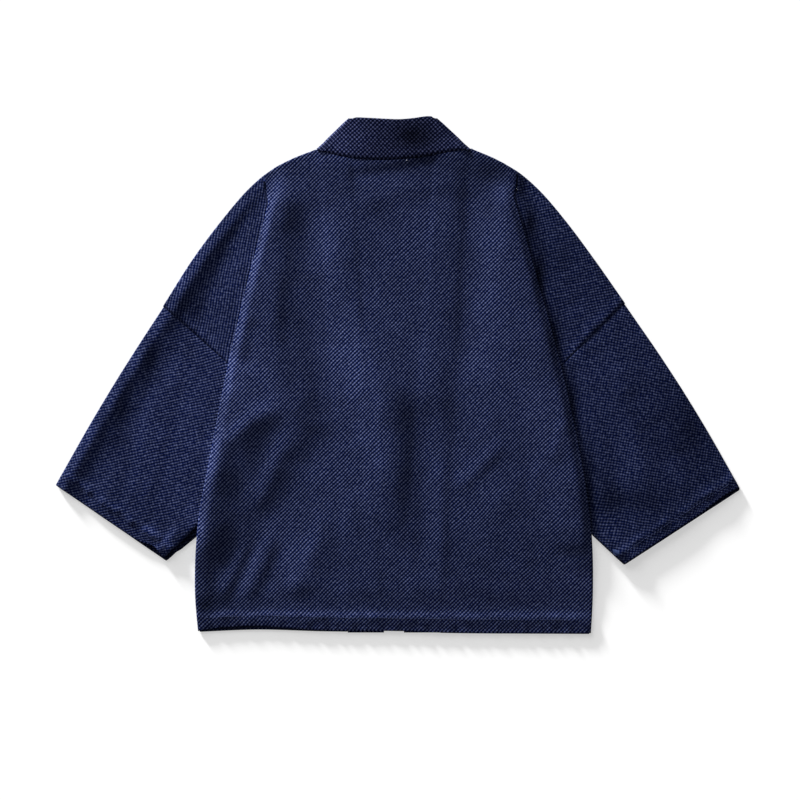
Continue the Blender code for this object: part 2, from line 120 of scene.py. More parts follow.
FOLD_EDGE = (
    (0, 284.5, 286), (48, 288.6, 288.6), (151, 285, 286), (268, 264, 268.5),
    (388, 240.5, 242), (503, 214, 210.5), (611, 186, 179.5), (640, 179.5, 171),
    (667, 176.5, 164),
)
SHOULDER_EDGE = (
    (113.5, 700, 700.8), (150, 685.5, 685), (180, 669, 667.5), (212, 641.5, 639.5),
    (250, 597, 595), (292, 540.5, 538.5), (335, 472.7, 477.1),
)
NECK_SEAM = (
    (-113.5, 700.5), (-77, 690.5), (-48, 686.3), (0, 685.8), (36, 688.8), (79, 696.5),
    (113.5, 702),
)
BAND_TOP = (
    (-66, 744), (-58, 745.8), (-38, 745.7), (-10, 744.4), (8, 743.9), (28, 745.4),
    (50, 748), (56, 747.8), (64, 744.2),
)
BACK_HEM = (
    (-286, 0.8), (-200, 4.2), (-100, 1.6), (0, 0.8), (100, -1.2), (200, -1.8),
    (286, -2.2),
)

# What differs between the two sides, with places as (out, up) and grains in degrees. cuff_slip is
# where along the cuff its upper wall is drawn back, over what share, how far all along and how much
# more there. underarm_swell is the upper and the lower wall's, and underarm_drawn the upper one's.
Side = namedtuple(
    "Side",
    "name sign fold shoulder apex_out armpit cuff_top cuff_low sleeve_bow band_seam band_free"
    " drop_grain sleeve_grain cuff_slip underarm_swell underarm_drawn",
)
SIDES = (
    Side(
        "left", -1, [row[:2] for row in FOLD_EDGE], [row[:2] for row in SHOULDER_EDGE],
        188.0, (140.0, ARMPIT_UP), (490.5, 213.5), (328.0, 102.5), 3.6, 108.0, 65.0,
        35.0, -31.5, (0.88, 0.1, 0.1, 1.6), (0.0, 7.6), 6.0,
    ),
    Side(
        "right", 1, [row[::2] for row in FOLD_EDGE], [row[::2] for row in SHOULDER_EDGE],
        178.0, (156.0, ARMPIT_UP), (502.5, 207.5), (333.5, 97.5), 5.4, 106.5, 61.5,
        33.0, 56.0, (0.12, 0.15, 0.5, 0.9), (7.0, 7.6), 0.0,
    ),
)

# Sampling of the cloth
FLAT_COLUMNS = 64
ARC_STEPS = 7
DROP_STEPS = 46
BAND_COLUMNS = np.concatenate(
    [np.linspace(0, 0.12, 13), np.linspace(0.16, 0.86, 12), np.linspace(0.89, 1.0, 5)]
)
NECK_COLUMNS = 42
FRONT_COLUMNS = 40
BAND_ROWS = 160
NECK_ROWS = 60
WALL_STEPS = 58
FINE_STEPS = 60
STRAIGHT_COUNTED = 3.0
LENGTH_PER_TURN = 4.0
SEAM_TURN_ANGLES = (20.0, 38.0, 56.0, 72.0, 90.0)
CORNER_STEP = 5.0

PANEL_ROWS = np.concatenate([
    (667.0, 666.92, 666.6, 666.2, 665.5, 664.7, 663.0, 660.5),
    np.linspace(657.0, ARMPIT_UP + 2.0, 86), np.linspace(ARMPIT_UP - 2.0, 148.0, 37),
    np.linspace(127.0, 45.0, 20), np.linspace(42.0, 0.0, 18),
])
RING_SHARES = np.concatenate(
    [[-0.014, -0.007], np.linspace(0, CUFF_FROM, 96), np.linspace(CUFF_FROM + 0.01, 1.0, 16)]
)

# A panel's height in the middle, the layer it is when folded under, its side roll and its inset
Panel = namedtuple("Panel", "laid under_layer fold_roll inset")
BACK = Panel(HALF + EDGE_RISE, 4, BACK_ROLL, 0.0)
FRONT = Panel(HALF, 1, PITCH / 2, FRONT_INSET)

# Soft troughs and ridges: where each runs, its width left and right of that way, and its height
Crease = namedtuple("Crease", "path width_left width_right height")
FRONT_CREASES = [Crease(*row) for row in (
    (((-130, 90), (-150, 250), (-140, 430)), 16, 22, 1.2),
    (((-215, 60), (-190, 170), (-196, 260)), 12, 15, 1.0),
    (((-110, 380), (-138, 500), (-120, 600)), 18, 14, 1.1),
    (((120, 70), (142, 210), (128, 360)), 20, 15, 1.2),
    (((206, 110), (180, 220), (190, 300)), 13, 16, 0.9),
    (((118, 420), (140, 520), (126, 640)), 15, 18, 1.1),
    (((230, 40), (200, 90), (160, 130)), 10, 12, 0.8),
)]
BODY_CREASES = [Crease(*row) for row in (
    (((-8, 120), (-2, 240), (-10, 345), (-52, 430), (-84, 520), (-92, 610)), 40, 26, 6.5),
    (((-112, 270), (-112, 350), (-126, 430), (-126, 490)), 20, 16, -1.6),
    (((-158, 330), (-172, 440), (-164, 560)), 16, 15, 2.5),
    (((-213, 375), (-203, 455)), 13, 13, -1.9),
    (((-160, 575), (-160, 675)), 13, 13, 1.6),
    (((-126, 565), (-128, 680)), 14, 14, -0.9),
    (((88, 330), (102, 430), (104, 520), (110, 620), (160, 664)), 20, 26, -2.5),
    (((170, 340), (166, 450), (160, 600)), 26, 16, 1.0),
    (((-75, 658), (0, 668), (85, 688)), 11, 10, -1.6),
    (((-70, 612), (20, 644), (115, 656)), 14, 14, 1.3),
    (((-80, 350), (-30, 352), (40, 348), (150, 338)), 55, 40, 1.7),
    (((46, 60), (40, 200), (42, 335)), 20, 18, -2.6),
    (((72, 60), (69, 180), (70, 285)), 9, 8, 1.0),
    (((88, 203), (122, 236), (160, 276)), 12, 10, 1.7),
    (((-272, 195), (-246, 272), (-205, 306), (-150, 336)), 14, 20, 3.9),
    (((-244, 70), (-230, 190), (-220, 225), (-212, 246)), 18, 16, -1.7),
    (((-200, 172), (-174, 240), (-152, 292)), 11, 14, 1.6),
    (((-130, 230), (-112, 300)), 26, 24, -1.5),
    (((-196, 38), (-160, 128)), 10, 12, -1.6),
    (((-216, 40), (-172, 155)), 10, 10, 1.4),
    (((-238, 35), (-192, 145)), 9, 9, -1.6),
    (((-254, 40), (-216, 132)), 8, 8, 1.3),
    (((-150, 40), (-118, 115), (-92, 175)), 14, 22, 2.5),
    (((-58, 138), (-62, 205)), 9, 10, 1.3),
    (((228, 246), (246, 310)), 10, 10, 1.4),
    (((198, 170), (212, 245)), 10, 10, 1.0),
    (((120, 90), (150, 180), (196, 240)), 22, 22, 1.2),
)]

# Painted light and shade, paler or darker (shadows beside folds, lit seams and puckers, the lamps'
# falloff), with some paling by rubbing: middle, half width, half length, how much; and the painted shade of
# cloth under an edge
UNDER_EDGE_SHADE = -0.65
Fade = namedtuple("Fade", "x up half_x half_up amount")
LIGHT_AND_RUBBING_PATCHES = [Fade(*row) for row in (
    (10, 110, 260, 95, -0.1), (-56, 400, 36, 75, 0.55), (-32, 250, 18, 120, 0.2),
    (-92, 550, 16, 50, 0.3), (-205, 360, 36, 42, 0.6), (-146, 455, 14, 30, -0.1),
    (-120, 305, 24, 40, -0.3), (140, 490, 26, 130, 0.1), (95, 640, 14, 60, -0.25),
    (140, 670, 34, 24, -0.45), (25, 685, 45, 16, -0.3), (38, 666, 50, 18, -0.3),
    (134, 625, 20, 34, -0.35), (76, 310, 9, 40, -0.25), (18, 250, 18, 100, -0.1),
    (45, 325, 45, 22, -0.18), (-250, 150, 20, 90, -0.2), (-262, 185, 12, 40, -0.3),
    (-274, 36, 16, 18, -0.65), (-225, 255, 15, 30, 0.5), (74, 372, 12, 36, -0.25),
    (-135, 120, 25, 60, 0.2), (-267, 75, 12, 26, -0.5), (-245, 46, 16, 12, -0.45),
    (-152, 498, 10, 30, 0.25), (-115, 600, 14, 40, -0.1), (-60, 640, 30, 20, -0.15),
    (180, 90, 110, 80, -0.16), (0, 12, 320, 10, -0.12), (-300, 330, 30, 60, 0.3),
    (-330, 240, 50, 50, 0.15), (-398, 298, 18, 60, -0.4), (-352, 386, 18, 50, -0.35),
    (-300, 470, 34, 24, -0.3), (-250, 550, 18, 40, -0.2), (-440, 170, 50, 22, -0.25),
    (-355, 148, 11, 7, 0.9), (-292, 178, 9, 20, 0.35), (-326, 131, 8, 7, 0.4),
    (-341, 438, 9, 30, 0.35), (-376, 382, 9, 30, 0.35), (-409, 327, 9, 30, 0.35),
    (-441, 274, 9, 30, 0.25), (-266, 600, 10, 26, 0.45), (-291, 559, 10, 28, 0.55),
    (-312, 519, 10, 28, 0.55), (-325, 466, 9, 9, 0.25), (-304, 447, 9, 9, 0.25),
    (-283, 428, 9, 9, 0.25), (-263, 410, 9, 9, 0.25), (262, 410, 9, 9, 0.3), (283, 430, 9, 9, 0.3),
    (304, 450, 9, 9, 0.3), (324, 468, 9, 9, 0.3), (-400, 178, 22, 9, 0.3),
    (410, 330, 130, 220, -0.3), (430, 290, 26, 46, -0.3), (350, 192, 55, 20, -0.35),
    (312, 200, 16, 50, -0.3), (344, 245, 24, 40, 0.3), (320, 350, 40, 40, 0.15),
    (290, 560, 60, 80, -0.2), (184, 648, 10, 26, -0.7), (197, 592, 11, 36, -0.75),
    (211, 520, 11, 44, -0.75), (233, 430, 11, 44, -0.6), (258, 335, 9, 50, -0.55),
    (283, 220, 8, 60, -0.4), (-72, 720, 38, 30, 0.75), (-266, 250, 10, 60, 0.35),
    (-186, 600, 9, 40, 0.4), (-204, 530, 9, 40, 0.45), (-222, 460, 9, 40, 0.4),
    (-238, 390, 9, 40, 0.3), (-285, 150, 12, 30, 0.4), (-350, 350, 250, 400, 0.12),
    (27, 721, 30, 22, -0.8), (88, 712, 14, 10, 0.3),
)]


def ease(x):
    x = np.clip(x, 0.0, 1.0)
    return x * x * (3 - 2 * x)


def mix(a, b, share):
    return a + (b - a) * share


def unit(vector):
    return vector / np.linalg.norm(vector)


def bell(x, middle, width):
    return np.exp(-(((x - middle) / width) ** 2))


def through(stations, at):
    """A smooth curve through (place, value) stations, read at a place."""
    place, value = np.array(stations, float).T
    slope = np.gradient(value, place)
    k = np.clip(np.searchsorted(place, at, side="right") - 1, 0, len(place) - 2)
    step = place[k + 1] - place[k]
    f = np.clip((at - place[k]) / step, 0.0, 1.0)
    rise = value[k + 1] - value[k]
    bend = step * f * (1 - f) * ((1 - f) * slope[k] - f * slope[k + 1])
    return value[k] + rise * f * f * (3 - 2 * f) + bend


def distance_to(points, start, end):
    start, end = np.array(start), np.array(end)
    along = end - start
    share = np.clip(((points - start) @ along) / (along @ along), 0.0, 1.0)
    return np.linalg.norm(points - start - share[..., None] * along, axis=-1)


def waves(place, seed, period):
    """Uneven puckers along a stitched line, about -1 to 1."""
    rng = np.random.default_rng(seed)
    total = 0.0
    for factor, weight in ((1.0, 0.5), (0.62, 0.35), (1.7, 0.3), (0.31, 0.22)):
        total = total + weight * np.sin(2 * math.pi * place / (period * factor) + rng.uniform(0, 6.28))
    return total


def layer(number):
    return HALF + number * PITCH


def fold_out(side, up):
    return through(side.fold, np.minimum(up, APEX_UP))


def hidden_crease(side, up):
    valley = mix(side.apex_out, side.armpit[0], (APEX_UP - up) / (APEX_UP - ARMPIT_UP))
    seam = mix(side.armpit[0], fold_out(side, SIDE_SEAM_UP), (ARMPIT_UP - up) / (ARMPIT_UP - SIDE_SEAM_UP))
    return np.where(up > ARMPIT_UP, valley, seam)


def apex(side):
    return np.array([fold_out(side, APEX_UP), APEX_UP])


def stack_share(side, plan):
    out, up = plan[..., 0], plan[..., 1]
    hip = (fold_out(side, SIDE_SEAM_UP), SIDE_SEAM_UP)
    top = (side.apex_out, APEX_UP)
    away = np.minimum(distance_to(plan, top, side.armpit), distance_to(plan, side.armpit, hip))
    over = (up > SIDE_SEAM_UP) & (out > hidden_crease(side, up))
    beside = 1 - ease((away - STACK_MARGIN) / STACK_SLOPE)
    return np.where(over, 1.0, beside) * ease((APEX_UP - up) / APEX_RISE)


def body_height(side, panel, plan, edge_out):
    if panel is FRONT:
        return np.full(plan.shape[:-1], HALF)
    out, up = plan[..., 0], plan[..., 1]
    stack = (layer(5) - panel.laid) * stack_share(side, plan)
    inside = edge_out - out
    puff = FOLD_CREST * ease((inside + 4.0) / PUFF_WIDTH)
    puff = puff * (1 - ease((inside - PUFF_WIDTH) / (4 * PUFF_WIDTH)))
    puff = puff * ease((APEX_UP - up) / APEX_RISE) * ease((up - FOLD_END_UP) / FOLD_END_LENGTH)
    turned = HEM_TURN_RISE * (1 - ease((up - HEM_DEPTH + 3.0) / 9.0))
    return panel.laid + stack + puff + turned


def tucked_share(side, plan):
    out, up = plan[..., 0], plan[..., 1]
    beyond = (out - fold_out(side, up) - TUCK_MARGIN) / TUCK_SLOPE
    near_apex = np.linalg.norm(plan - apex(side), axis=-1) / APEX_RISE
    return (1 - ease(beyond)) * ease(near_apex)


def arm_height(side, panel, plan):
    tucked = tucked_share(side, plan)
    low = HALF + 2 * PITCH * tucked
    if panel is FRONT:
        return low
    return low + mix(EDGE_RISE, PITCH, tucked)


def shoulder_up(side, out):
    return through(side.shoulder, out) - HALF


def fold_profile(reach, first_roll, second_roll):
    """A turn in, a straight and a turn back, with points picked evenly."""
    rolls = first_roll + second_roll
    turn = math.pi if reach <= 0 else 2 * math.atan2(rolls, reach)
    straight = abs(reach)
    angles = np.linspace(0, turn, FINE_STEPS + 1)
    out = first_roll * np.sin(angles)
    down = first_roll * (1 - np.cos(angles))
    end_out = out[-1] + straight * math.cos(turn)
    end_down = down[-1] + straight * math.sin(turn)
    out = np.append(out, end_out + second_roll * (math.sin(turn) - np.sin(angles[::-1])))
    down = np.append(down, end_down + second_roll * (np.cos(angles[::-1]) - math.cos(turn)))
    length = np.minimum(np.hypot(np.diff(out), np.diff(down)), STRAIGHT_COUNTED)
    turned = np.where(np.arange(len(length)) == FINE_STEPS, 0.0, turn / FINE_STEPS)
    weight = np.append(0.0, np.cumsum(length / LENGTH_PER_TURN + turned))
    picked = np.linspace(0, weight[-1], 2 * ARC_STEPS + 2)[1:]
    out = np.interp(picked, weight, out)
    down = np.interp(picked, weight, down)
    past = down - 2 * first_roll
    return out, np.where(past <= 0, down / (2 * first_roll), 1 + past / (2 * second_roll))


def edge_drop(height, seam, inside):
    share = np.sqrt(1 - (1 - np.clip(inside / (EDGE_RISE / 2), 0.0, 1.0)) ** 2)
    return seam + (height - seam) * share


def seam_height(panel, front, back):
    middle = (front + back) / 2
    return middle + SEAM_STEP if panel is BACK else middle - SEAM_STEP


def panel_edge(side, panel, up):
    below = 1 - ease((up - FOLD_END_UP) / FOLD_END_LENGTH)
    roll = mix(panel.fold_roll, BACK_ROLL, below)
    return fold_out(side, up) - mix(panel.inset, 0.0, below) - HALF - roll, roll


def edge_up(side, panel, up):
    start = mix(shoulder_up(side, side.apex_out), ARMPIT_UP, (APEX_UP - up) / (APEX_UP - ARMPIT_UP))
    corner = shoulder_up(side, panel_edge(side, panel, APEX_UP)[0]) - shoulder_up(side, side.apex_out)
    bend = corner * (1 - ease((APEX_UP - up) / APEX_BEND))
    return start + bend if up > ARMPIT_UP else up


# The look's own relief, over the solids' form

def crease_relief(creases, x, up):
    """Sum of the soft troughs and ridges at a place."""
    total = np.zeros(x.shape)
    for c in creases:
        path = np.array(c.path, float)
        steps = np.linalg.norm(np.diff(path, axis=0), axis=1)
        before = np.append(0.0, np.cumsum(steps))
        nearest = np.full(x.shape, np.inf)
        share = np.zeros(x.shape)
        width = np.ones(x.shape)
        for start, end, step, ahead in zip(path, path[1:], steps, before):
            along = (end - start) / step
            dx, du = x - start[0], up - start[1]
            t = np.clip(dx * along[0] + du * along[1], 0.0, step)
            away = np.hypot(dx - t * along[0], du - t * along[1])
            left = dx * -along[1] + du * along[0] > 0
            closer = away < nearest
            nearest = np.where(closer, away, nearest)
            share = np.where(closer, (ahead + t) / before[-1], share)
            width = np.where(closer, np.where(left, c.width_left, c.width_right), width)
        ends = ease(share / 0.3 + 0.15) * ease((1 - share) / 0.3 + 0.15)
        total = total + c.height * bell(nearest, 0.0, width) * ends
    return total


def wear(x, up):
    """How much paler, or darker below zero, the cloth is painted at a place: mostly painted light and
    shade, some paling by rubbing.
    """
    total = np.zeros(x.shape)
    for f in LIGHT_AND_RUBBING_PATCHES:
        total = total + f.amount * np.exp(-(((x - f.x) / f.half_x) ** 2) - ((up - f.up) / f.half_up) ** 2)
    return total


def band_print(x, up):
    """The front bands and the gap between them, showing through the back."""
    share = np.clip(up / BAND_SEAM_UP, 0, 1)
    total = np.zeros(x.shape)
    for side in SIDES:
        out = side.sign * x
        seam = mix(BAND_SEAM_FOOT, side.band_seam, share)
        free = mix(BAND_FREE_FOOT, side.band_free, share)
        total = total + ease((out - free) / 9 + 0.5) * (1 - ease((out - seam) / 12 + 0.5))
    return total


def body_relief(x, up):
    """Height of the back's soft forms over its solid."""
    relief = crease_relief(BODY_CREASES, x, up)
    relief = relief + 0.9 * (band_print(x, up) - 0.5) + BACK_LIFT * ease((APEX_UP - up) / 120.0)
    calm = ease((up - 30.0) / 40.0)
    hem_line = through(BACK_HEM, x)
    over = up - hem_line
    pucker = waves(x, 11, 13.0)
    ridge = 0.8 * bell(over - 21.0, 1.5 * waves(x, 12, 46.0), 4.6)
    strength = np.clip(0.75 + 0.45 * waves(x, 15, 70.0) + 0.5 * pucker, 0.0, 1.8)
    fall = -1.2 * (1 - ease((over - 2.0) / 13.0))
    hem = ridge * strength + fall * (0.9 + 0.6 * waves(x, 14, 21.0))
    neck = through(NECK_SEAM, x) - up
    near_neck = 1.2 * bell(neck, 0.0, 26.0) * ease((NECK_OUT + 0.5 - abs(x)) / 40.0)
    return RELIEF * relief * calm + hem + near_neck


def armhole_line(side):
    """The dropped armhole's upper end and its direction down."""
    tip_out = side.shoulder[-1][0]
    tip = np.array([tip_out, shoulder_up(side, tip_out)])
    return tip, unit(side.armpit - tip)


def cuff_line(side):
    """The cuff's top corner, its direction down and the way inward."""
    top = np.array(side.cuff_top)
    along = unit(side.cuff_low - top)
    return top, along, np.array([along[1], -along[0]])


def sleeve_top(side, share):
    """The sleeve's top edge: a slightly bowed line from the shoulder's tip to the cuff."""
    tip, armhole = armhole_line(side)
    top = mix(tip + armhole * SLEEVE_INSET, side.cuff_top, share)
    return top - armhole * side.sleeve_bow * math.sin(math.pi * max(share, 0.0))


def armhole_relief(side, beyond, down):
    """The drop shoulder's puffed seam edge, and the sleeve sunk a little beside it."""
    on_shoulder = beyond < 0.3
    puffed = 1.4 if side.sign < 0 else 1.1
    puckered = 0.85 + 0.2 * waves(down, 21 + side.sign, 18.0)
    shoulder_side = puffed * bell(beyond, -6.5, 6.0) * puckered * on_shoulder
    edge_fall = -0.5 * bell(np.minimum(beyond, 0), 0.0, 1.2) * on_shoulder
    sleeve_side = -0.4 * bell(beyond, 0.0, 4.0) * ~on_shoulder
    return shoulder_side + edge_fall + sleeve_side


def top_edge_relief(side, plan, beyond, down):
    """The top edge's ridge on the left or swell on the right, and the trough inside it."""
    line = [(out, shoulder_up(side, out)) for out in (190.0, 212.0, 250.0, 292.0)]
    line += [sleeve_top(side, share) for share in np.linspace(0, 1, 6)]
    inside = np.min([distance_to(plan, a, b) for a, b in zip(line, line[1:])], axis=0)
    pinch = 0.85 + 0.3 * waves(down * 0.4 + beyond, 61 + side.sign, 90.0)
    if side.sign < 0:
        on_drop = 1 - ease((beyond + 20) / 40.0)
        return 2.7 * bell(inside, 14, 9.5) - (2.0 - 0.9 * on_drop) * pinch * bell(inside, 46, 20.0)
    return 2.8 * ease(inside / 34.0) - 1.6 * pinch * bell(inside, 62, 26.0)


def cuff_relief(side, plan):
    """The cuff's puckered ridge, its stitches' groove, its edge and the soft forms inside."""
    cuff_top, hem_along, inward = cuff_line(side)
    from_cuff = (plan - cuff_top) @ inward
    across = (plan - cuff_top) @ hem_along
    bumps = np.clip(waves(across, 31 + side.sign, 40.0), -0.7, 1.2)
    high = 1.5 if side.sign < 0 else 0.9
    ridge = high * bell(from_cuff - 19, 2 * waves(across, 33, 60.0), 5.5) * (0.8 + 0.9 * bumps)
    groove = -0.1 * bell(from_cuff, 14.5, 3.0)
    fall = -0.4 * (1 - ease(from_cuff / 16.0))
    soft = 0.6 * waves(across * 0.8 + from_cuff * 0.3, 51 + side.sign, 70.0) * ease(from_cuff / 60.0)
    from_low = distance_to(plan, side.armpit, side.cuff_low)
    corner = 2.6 * bell(from_low, 15, 9.0) * (1 - ease((from_cuff - 40) / 60.0)) * (across > 60)
    return RELIEF * (ridge + soft + corner) + groove + fall


def arm_relief(side, plan):
    """Height of an arm's soft forms over its solids."""
    tip, armhole = armhole_line(side)
    beyond = (plan - tip) @ np.array([-armhole[1], armhole[0]])
    down = (plan - tip) @ armhole
    edge = RELIEF * top_edge_relief(side, plan, beyond, down)
    return armhole_relief(side, beyond, down) + edge + cuff_relief(side, plan)


def settled(side, plan, height):
    """A hidden layer's height, moved in proportion with the back's relief."""
    share = np.clip((height - HALF) / (layer(5) - HALF), 0.0, 1.0)
    return np.maximum(height + body_relief(side.sign * plan[..., 0], plan[..., 1]) * share, HALF)


def lowest(side, start, end, height):
    """The least height of a hidden layer along a line, so that it stays under the back."""
    line = mix(np.array(start), np.array(end), np.linspace(0, 1, 14)[:, None])
    return float(settled(side, line, np.full(len(line), height)).min())


def unturned(side, plan, degrees):
    """Where a turned-down arm part lay on the cloth before it was turned."""
    turn = math.radians(degrees)
    d = plan - apex(side)
    u = math.cos(turn) * d[..., 0] - math.sin(turn) * d[..., 1]
    v = math.sin(turn) * d[..., 0] + math.cos(turn) * d[..., 1]
    return np.stack([u, v], axis=-1) + apex(side)


def body_row(side, panel, up, columns):
    """The flat part of a row: (out, up, height, and the cloth's own two coordinates)."""
    edge_out, _ = panel_edge(side, panel, up)
    top_edge, _ = panel_edge(side, panel, APEX_UP)
    share = (APEX_UP - up) / APEX_UP
    top_out = columns * top_edge
    neck = through(NECK_SEAM, side.sign * top_out) - NECK_GAP
    top = np.where(top_out < NECK_OUT, neck, shoulder_up(side, np.maximum(top_out, NECK_OUT)))
    hem = through(BACK_HEM, side.sign * columns * edge_out)
    if panel is BACK:
        across = side.sign * columns * edge_out
        hem = hem + HEM_SLIVER * (0.35 + bell(across, -215, 70.0) - 0.2 * (across > 40))
    ups = mix(top, hem, share)
    if up > 0:
        ups = ups + (edge_up(side, panel, up) - ups[-1]) * columns**4
    plan = np.stack([columns * edge_out, ups], axis=-1)
    height = body_height(side, panel, plan, edge_out)
    if panel is BACK:
        height = height + body_relief(side.sign * plan[:, 0], ups)
    else:
        inside = ease((edge_out - plan[:, 0]) / 20.0)
        height = height + crease_relief(FRONT_CREASES, side.sign * plan[:, 0], ups) * inside
    seam = seam_height(panel, HALF, HALF + EDGE_RISE)
    dropped = edge_drop(height, seam, EDGE_CLOSENESS * (APEX_UP - up))
    seamed = (top_out > NECK_OUT + HALF) | (panel is FRONT)
    height = np.where(seamed, dropped, height)
    return np.column_stack([plan, height, plan])


def arm_row(side, panel, up, start):
    """The row goes round under the body and out again as the drop shoulder."""
    _, roll = panel_edge(side, panel, up)
    shares = np.linspace(0, 1, DROP_STEPS + 1)
    outline_out = mix(side.apex_out, side.shoulder[-1][0], shares)
    outline = np.stack([outline_out, shoulder_up(side, outline_out)], axis=-1)
    down = (APEX_UP - up) / (APEX_UP - ARMPIT_UP)
    drop = mix(outline, side.armpit, down)
    gap = drop[0] - start[:2]
    level = np.array([np.linalg.norm(gap), 0.0])
    heading = mix(gap, level, ease((APEX_UP - up - LEVEL_FROM) / LEVEL_LENGTH))
    heading = unit(heading)
    reach = float(gap @ heading)
    out, fall = fold_profile(reach, roll, PITCH / 2)
    drift = gap - reach * heading
    progress = np.arange(1, len(out) + 1) / len(out)
    fold = start[:2] + out[:, None] * heading + progress[:, None] * drift
    rise = ease((APEX_UP - up) / APEX_RISE)
    top = start[2]
    back_under = mix(panel.laid, layer(panel.under_layer), rise)
    tucked = arm_height(side, panel, drop[:1])[0]
    back_under = lowest(side, start[:2], drop[0], back_under)
    tucked = settled(side, drop[:1], np.array([tucked]))[0]
    height = np.interp(fall, [0, 1, 2], [top, back_under, tucked])
    flat = arm_height(side, panel, drop[1:])
    under = settled(side, drop[1:], flat)
    if panel is BACK:
        flat = flat + arm_relief(side, drop[1:])
    flat = mix(flat, under, tucked_share(side, drop[1:]))
    plan = np.vstack([fold, drop[1:]])
    height = np.append(height, flat)
    seams = seam_height(panel, arm_height(side, FRONT, outline), arm_height(side, BACK, outline))
    body_seam = seam_height(panel, HALF, HALF + EDGE_RISE)
    seams = np.append(mix(body_seam, seams[0], progress), seams[1:])
    height = edge_drop(height, seams, EDGE_CLOSENESS * (APEX_UP - up))
    steps = np.linalg.norm(np.diff(np.vstack([start[:2], fold]), axis=0), axis=1)
    fold_cloth = np.column_stack([start[0] + np.cumsum(steps), fold[:, 1]])
    drop_cloth = unturned(side, drop[1:], side.drop_grain)
    return np.column_stack([plan, height, np.vstack([fold_cloth, drop_cloth])])


def quarter_turn(start_out, end_out, start_height, end_height):
    angles = np.radians(SEAM_TURN_ANGLES)
    return (
        start_out + (end_out - start_out) * np.sin(angles),
        end_height + (start_height - end_height) * np.cos(angles),
    )


def side_row(side, panel, up, start):
    """The row goes round under the body to the side seam's crease."""
    edge_out, roll = panel_edge(side, panel, up)
    under = layer(panel.under_layer)
    angles = np.linspace(0, math.pi, ARC_STEPS + 1)[1:]
    out = edge_out + roll * np.sin(angles)
    seam = seam_height(panel, layer(FRONT.under_layer), layer(BACK.under_layer))
    crease = float(hidden_crease(side, up)) - SIDE_SEAM_INSET
    under, seam = (lowest(side, start[:2], (crease, start[1]), h) for h in (under, seam))
    height = mix(start[2], under, (1 - np.cos(angles)) / 2)
    turn = abs(under - seam)
    turn_out, turn_height = quarter_turn(crease + turn, crease, under, seam)
    out = np.concatenate([out, [crease + turn], turn_out])
    height = np.concatenate([height, [under], turn_height])
    ups = np.full(len(out), start[1])
    return np.column_stack([out, ups, height, 2 * start[0] - out + roll, ups])


def hip_row(side, panel, up, start):
    """The row turns down to the side seam, below the folds."""
    edge_out, roll = panel_edge(side, panel, up)
    back_out, _ = panel_edge(side, BACK, up)
    back = body_height(side, BACK, np.array([[back_out, start[1]]]), back_out)[0]
    seam = seam_height(panel, HALF, back)
    out, height = quarter_turn(edge_out, edge_out + roll, start[2], seam)
    ups = np.full(len(out), start[1])
    return np.column_stack([out, ups, height, out, ups])


def half_panel(side, panel, columns):
    """The rows of one half of a panel, from the neck to the hem."""
    rows = []
    for up in PANEL_ROWS:
        flat = body_row(side, panel, up, columns(side, up))
        if up > ARMPIT_UP:
            outer_row = arm_row
        elif up > SIDE_SEAM_UP:
            outer_row = side_row
        else:
            outer_row = hip_row
        rows.append(np.vstack([flat, outer_row(side, panel, up, flat[-1])]))
    return rows


def linked(name, data):
    """A new object of the scene that shows some data."""
    made = bpy.data.objects.new(name, data)
    bpy.context.scene.collection.objects.link(made)
    return made


def hem_rows(cut, inward):
    """The hem's turned-up allowance under a panel's flat rows."""
    inner = [row for row, up in zip(cut, PANEL_ROWS) if 0 < up < HEM_DEPTH]
    return turned_rows(cut[-1], inner[::-1], np.array([0.0, 0.0, inward]))


def turned_rows(edge, inner, inward):
    """The allowance past an edge: a half turn, then a flat return under the rows inside it."""
    roll = PITCH / 2
    outward = edge[:, :3] - inner[0][:, :3]
    outward = outward / np.linalg.norm(outward, axis=1)[:, None]
    rows = []
    for angle in np.linspace(0, math.pi, 7)[1:]:
        row = edge.copy()
        row[:, :3] += roll * (math.sin(angle) * outward + (1 - math.cos(angle)) * inward)
        rows.append(row)
    for above in inner:
        row = above.copy()
        row[:, :3] += 2 * roll * inward
        rows.append(row)
    return rows


class Sheet:
    """The middle surface of one piece of cloth: points with cloth coordinates, and faces."""

    def __init__(self):
        self.rows = []
        self.count = 0
        self.faces = []

    def add(self, rows):
        numbers = []
        for row in rows:
            self.rows.append(row)
            numbers.append(np.arange(self.count, self.count + len(row)))
            self.count += len(row)
        return numbers

    def weave(self, numbers, closed=False):
        for upper, lower in zip(numbers, numbers[1:]):
            shared = min(len(upper), len(lower))
            a, b = upper[:shared], lower[:shared]
            quads = np.column_stack([a, b, np.roll(b, -1), np.roll(a, -1)])
            self.faces.append(quads if closed else quads[:-1])


def placed(side, rows):
    return [row * (side.sign, 1, 1, side.sign, 1) for row in rows]


